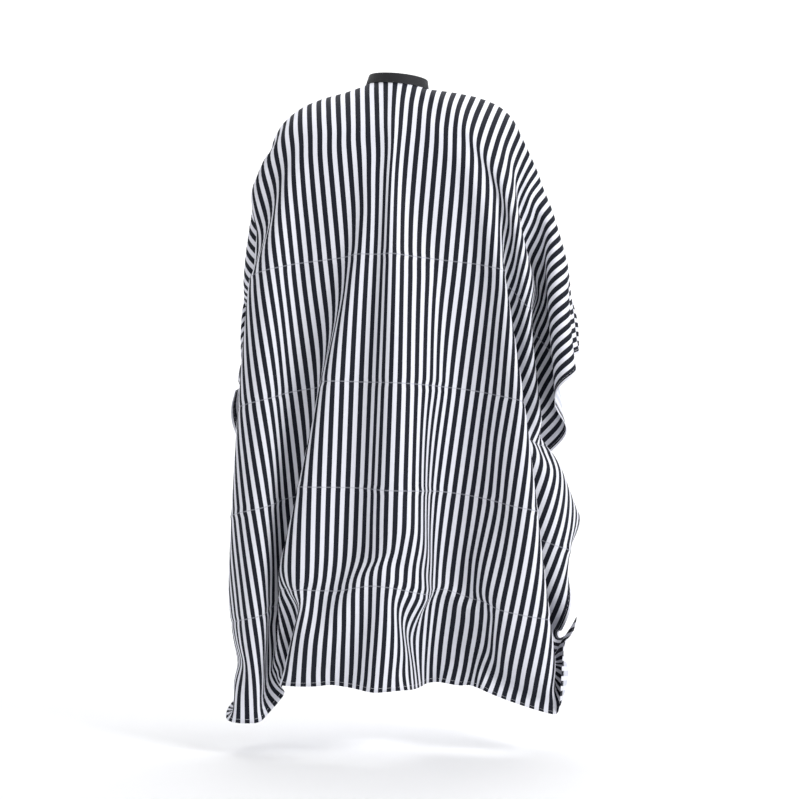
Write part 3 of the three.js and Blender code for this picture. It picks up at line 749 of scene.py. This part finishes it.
def stitches(name, middles, runs, outs, finish):
    """A row of stitches, each lying along its run with its back to the cloth, as one piece."""
    ax = np.array(runs) / np.linalg.norm(runs, axis=1, keepdims=True)
    az = np.array(outs) / np.linalg.norm(outs, axis=1, keepdims=True)
    ay = np.cross(az, ax)
    co = (np.array(middles)[:, None] + stitch_points[None, :, :1] * ax[:, None]
          + stitch_points[None, :, 1:2] * ay[:, None] + stitch_points[None, :, 2:] * az[:, None] * 0.8)
    faces = [tuple(v + i * len(stitch_points) for v in f) for i in range(len(middles)) for f in stitch_faces]
    mesh = bpy.data.meshes.new(name)
    mesh.from_pydata([tuple(p) for p in co.reshape(-1, 3)], [], faces)
    mesh.materials.append(finish)
    piece = bpy.data.objects.new(name, mesh)
    bpy.context.scene.collection.objects.link(piece)
    take(piece)
    bpy.ops.object.shade_smooth_by_angle(angle=math.radians(60))
    return piece


def thread_finish(name, colour, paler):
    """Spun sewing thread."""
    thread = Finish(name, IOR=1.5, Sheen_Weight=0.1)
    place = thread.node("TexCoord").outputs["Object"]
    ply = thread.noise(place, 4000, 2.0)
    thread.give(Base_Color=thread.mix(ply, colour, paler), Roughness=0.42 + ply * 0.2)
    thread.raise_surface(ply * 0.00004)
    return thread.material


def along_band(points, directions, out, up, pitch):
    """Evenly spaced places on the band, with the way the band runs there and the way it faces."""
    path = on_band(points, directions, out, up)
    gone = np.append(0, np.cumsum(np.linalg.norm(np.diff(path, axis=0), axis=1)))
    steps = np.arange(pitch * 0.7, gone[-1] - pitch * 0.5, pitch)
    middles = np.column_stack([np.interp(steps, gone, path[:, i]) for i in range(3)])
    beyond = on_band(points, directions, out * 2, up)
    faces_ = np.column_stack([np.interp(steps, gone, (beyond - path)[:, i]) for i in range(3)])
    after, before = (np.column_stack([np.interp(steps + shift, gone, path[:, i]) for i in range(3)])
                     for shift in (pitch / 4, -pitch / 4))
    return middles, after - before, faces_


black_thread = thread_finish("black_thread", (0.010, 0.010, 0.012, 1), (0.045, 0.045, 0.052, 1))
TOP_ROW, FOOT_ROW = 0.0081, -0.0083
OUTSIDE, INNER_SIDE = 0.00162, -0.00170 # the rows' depths on the band
TAB_OUTSIDE, TAB_INNER_SIDE = 0.00164, -0.00172
STITCHED_FROM = TAB_ROOT - 0.003 # the tab's stitches begin past its fold
rows_ = [along_band(line[:split + 1], outward[:split + 1], out, up, BAND_STITCH_PITCH)
         for out in (OUTSIDE, INNER_SIDE) for up in (TOP_ROW, FOOT_ROW)]
band_stitches = stitches("neckband_stitches", *[np.vstack(parts_) for parts_ in zip(*rows_)], black_thread)
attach(band_stitches, "cape")

IN_FROM_EDGE = BAND_HEIGHT / 2 - TOP_ROW
corner_radius = TAB_CORNER - IN_FROM_EDGE
turns = np.linspace(0, math.pi / 2, 9)
tip_x = TAB_TIP + IN_FROM_EDGE + corner_radius * (1 - np.sin(turns))
tip_up = TOP_ROW - corner_radius * (1 - np.cos(turns))
outline_x = np.concatenate([[STITCHED_FROM], tip_x, tip_x[::-1], [STITCHED_FROM]])
outline_up = np.concatenate([[TOP_ROW], tip_up, -tip_up[::-1], [-TOP_ROW]])
outline = np.column_stack([outline_x, np.full(len(outline_x), TAB_DEPTH)])
rows_ = [along_band(outline, np.tile([0, 1], (len(outline), 1)), out, outline_up, BAND_STITCH_PITCH)
         for out in (TAB_OUTSIDE, TAB_INNER_SIDE)]
tab_stitches = stitches("tab_stitches", *[np.vstack(parts_) for parts_ in zip(*rows_)], black_thread)
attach(tab_stitches, "closure_tab")

# Stitching of the hem.
# One row of white lockstitch holds the turned edge all round the cape and down both sides of the slit.
white_thread = thread_finish("white_thread", (0.70, 0.70, 0.76, 1), (0.86, 0.86, 0.90, 1))
middles, runs, faces_ = [], [], []
for (a, b), _ in rim:
    ends_ = [draped[v] * (1 - SEWN_IN) + draped[inside_of[v]] * SEWN_IN for v in (a, b)]
    out = face_out[a] + face_out[b] + face_out[inside_of[a]] + face_out[inside_of[b]]
    out /= np.linalg.norm(out)
    run_length = np.linalg.norm(ends_[1] - ends_[0])
    if run_length < STITCH_PITCH:
        continue
    number = max(1, round(run_length / STITCH_PITCH))
    for i in range(number):
        middle = ends_[0] + (ends_[1] - ends_[0]) * (i + 0.5) / number
        for lift in (THREAD_LIFT, -far_side - THREAD_LIFT):
            middles.append(middle + out * lift)
            runs.append(ends_[1] - ends_[0])
            faces_.append(out)
hem_stitches = stitches("hem_stitches", middles, runs, faces_, white_thread)
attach(hem_stitches, "cape")

# Press snaps.
# Stamped brass with a black nickel finish. A cap and a socket are riveted through the tab, and a stud and its
# post through the band's inner end, in a row, so that the neck can be set to fit.
FIRST_SNAP, SNAP_PITCH = 0.017, 0.012
SNAPS = { # name: (number, outermost depth, outline as radius and height in millimetres, body)
    "snap_cap": (2, 0.0492, [(0, 1.0), (1.4, 0.98), (2.6, 0.90), (3.4, 0.78), (3.75, 0.66), (3.9, 0.60), (4.05, 0.62),
                 (4.3, 0.55), (4.65, 0.38), (4.88, 0.16), (4.98, -0.05), (4.9, -0.22), (4.6, -0.27), (1.2, -0.27),
                 (1.2, -3.88), (0.9, -3.9), (0, -3.9)], "closure_tab"),
    "snap_socket": (2, 0.0430, [(0, 1.52), (1.9, 1.52), (1.98, 1.4), (2.02, 0.55), (2.12, 0.2), (2.35, 0.02),
                    (2.7, 0.0), (3.1, 0.14), (3.35, 0.42), (3.55, 0.62), (3.9, 0.72), (4.1, 0.92), (4.18, 1.2),
                    (4.18, 2.1), (4.0, 2.24), (0, 2.24)], "closure_tab"),
    "snap_stud": (5, 0.0421, [(0, -0.25), (3.1, -0.25), (3.33, -0.12), (3.4, 0.15), (3.33, 0.42), (3.1, 0.56),
                  (2.2, 0.62), (1.75, 0.66), (1.5, 0.78), (1.48, 0.95), (1.42, 1.15), (1.28, 1.5), (1.12, 1.85),
                  (0.98, 2.04), (0.7, 2.1), (0, 2.06)], "cape"),
    "snap_post": (5, 0.0373, [(0, 0.22), (0.8, 0.20), (1.2, 0.06), (1.5, 0.0), (3.6, 0.0), (3.95, 0.06),
                  (4.15, 0.22), (4.18, 0.45), (4.1, 0.75), (3.9, 0.85), (1.2, 0.86), (1.2, 4.4), (0, 4.4)], "cape"),
}
nickel = Finish("black_nickel", Metallic=1.0, IOR=1.5)
place = nickel.node("TexCoord").outputs["Object"]
scuff = nickel.noise(place, 900, 4.0, 0.6)
haze = nickel.noise(place, 140, 2.0)
nickel.give(Base_Color=nickel.mix(((scuff - 0.5) * 4 + haze - 0.3).math("ADD", 0.0, clamp=True),
                                  (0.075, 0.075, 0.085, 1), (0.20, 0.20, 0.21, 1)), Roughness=0.22 + haze * 0.22)
nickel.raise_surface(scuff * 0.00002)
SNAP_SIDES = 40


def turned(name, shape, depth, finish):
    """A stamped part, turned about the line from the neck outwards through its middle."""
    mesh = bpy.data.meshes.new(name)
    edges = [(i, i + 1) for i in range(len(shape) - 1)]
    mesh.from_pydata([(r * MILLI, depth + h * MILLI, 0) for r, h in shape], edges, [])
    piece = bpy.data.objects.new(name, mesh)
    bpy.context.scene.collection.objects.link(piece)
    take(piece)
    bpy.ops.object.mode_set(mode="EDIT")
    bpy.ops.mesh.select_all(action="SELECT")
    bpy.ops.mesh.spin(steps=SNAP_SIDES, angle=2 * math.pi, center=(0, 0, 0), axis=(0, 1, 0))
    bpy.ops.mesh.select_all(action="SELECT")
    bpy.ops.mesh.remove_doubles(threshold=0.000005)
    bpy.ops.mesh.normals_make_consistent(inside=False)
    bpy.ops.object.mode_set(mode="OBJECT")
    bpy.ops.object.shade_smooth_by_angle(angle=math.radians(35))
    piece.data.materials.append(finish)
    return piece


for name, (number, depth, shape, body) in SNAPS.items():
    pattern = turned(name, shape, depth, nickel.material)
    for i in range(number):
        snap = bpy.data.objects.new(f"{name}_{i + 1}_part", pattern.data.copy())
        bpy.context.scene.collection.objects.link(snap)
        snap.data.transform(BAND_TILT @ Matrix.Translation((FIRST_SNAP - i * SNAP_PITCH, 0, 0)))
        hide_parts(f"{name}_{i + 1}")
        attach(snap, body)
    bpy.data.objects.remove(pattern)

# Studio.
# A pale sweep under and behind the cape. One soft lamp lights it from above the viewer's right, and a pale
# surround fills the shadows.
FLOOR = -1.30
SWEEP_BACK = 3.9 # the sweep curves up just beyond this line
take(cape)
bpy.ops.mesh.primitive_plane_add(size=1, location=(0, 0, FLOOR))
floor = bpy.context.active_object
floor.name = "floor"
floor.scale = (14, 9, 1)
floor.location.y = -0.5
bpy.ops.object.transform_apply(location=True, scale=True)
bpy.ops.object.mode_set(mode="EDIT")
bpy.ops.mesh.select_mode(type="EDGE")
bpy.ops.mesh.select_all(action="DESELECT")
bpy.ops.object.mode_set(mode="OBJECT")
for e in floor.data.edges:
    e.select = all(floor.data.vertices[v].co.y > SWEEP_BACK for v in e.vertices)
bpy.ops.object.mode_set(mode="EDIT")
bpy.ops.mesh.extrude_region_move(TRANSFORM_OT_translate={"value": (0, 0, 7)})
bpy.ops.mesh.select_all(action="DESELECT")
bpy.ops.object.mode_set(mode="OBJECT")
for e in floor.data.edges:
    places = [floor.data.vertices[v].co for v in e.vertices]
    e.select = all(place.y > SWEEP_BACK and place.z < FLOOR + 0.1 for place in places)
bpy.ops.object.mode_set(mode="EDIT")
bpy.ops.mesh.bevel(offset=2.0, segments=24, affect="EDGES")
bpy.ops.object.mode_set(mode="OBJECT")
bpy.ops.object.shade_smooth()
paper = Finish("studio_paper", Roughness=0.9)
grain = paper.noise(paper.node("TexCoord").outputs["Object"], 3, 2.0)
paper.give(Base_Color=paper.mix(grain, (0.93, 0.93, 0.935, 1), (0.90, 0.90, 0.905, 1)))
floor.data.materials.append(paper.material)


def lamp(name, place, aim, size, power):
    data = bpy.data.lights.new(name, "AREA")
    data.shape, data.size, data.energy = "SQUARE", size, power
    made = bpy.data.objects.new(name, data)
    bpy.context.scene.collection.objects.link(made)
    made.location = place
    made.rotation_euler = (Vector(aim) - Vector(place)).to_track_quat("-Z", "Y").to_euler()


lamp("key", (3.0, -2.4, 1.6), (0.05, 0, -0.55), 1.4, 105)
lamp("fill", (-2.6, -3.0, 0.6), (0, 0, -0.6), 2.6, 2)
lamp("sweep", (0, 1.2, 2.6), (0, 3.2, -0.3), 3.0, 110)
world = bpy.data.worlds.new("studio")
bpy.context.scene.world = world
world.use_nodes = True
world.node_tree.nodes["Background"].inputs[0].default_value = (0.97, 0.98, 1.0, 1)
world.node_tree.nodes["Background"].inputs[1].default_value = 0.56
bpy.context.scene.view_settings.view_transform = "Standard"

view = bpy.data.cameras.new("camera")
view.sensor_width, view.lens = 36, 78.0
camera = bpy.data.objects.new("camera", view)
bpy.context.scene.collection.objects.link(camera)
camera.location = (0.003, -3.4, -0.6205)
camera.rotation_euler = (math.pi / 2, 0, 0)
bpy.context.scene.camera = camera
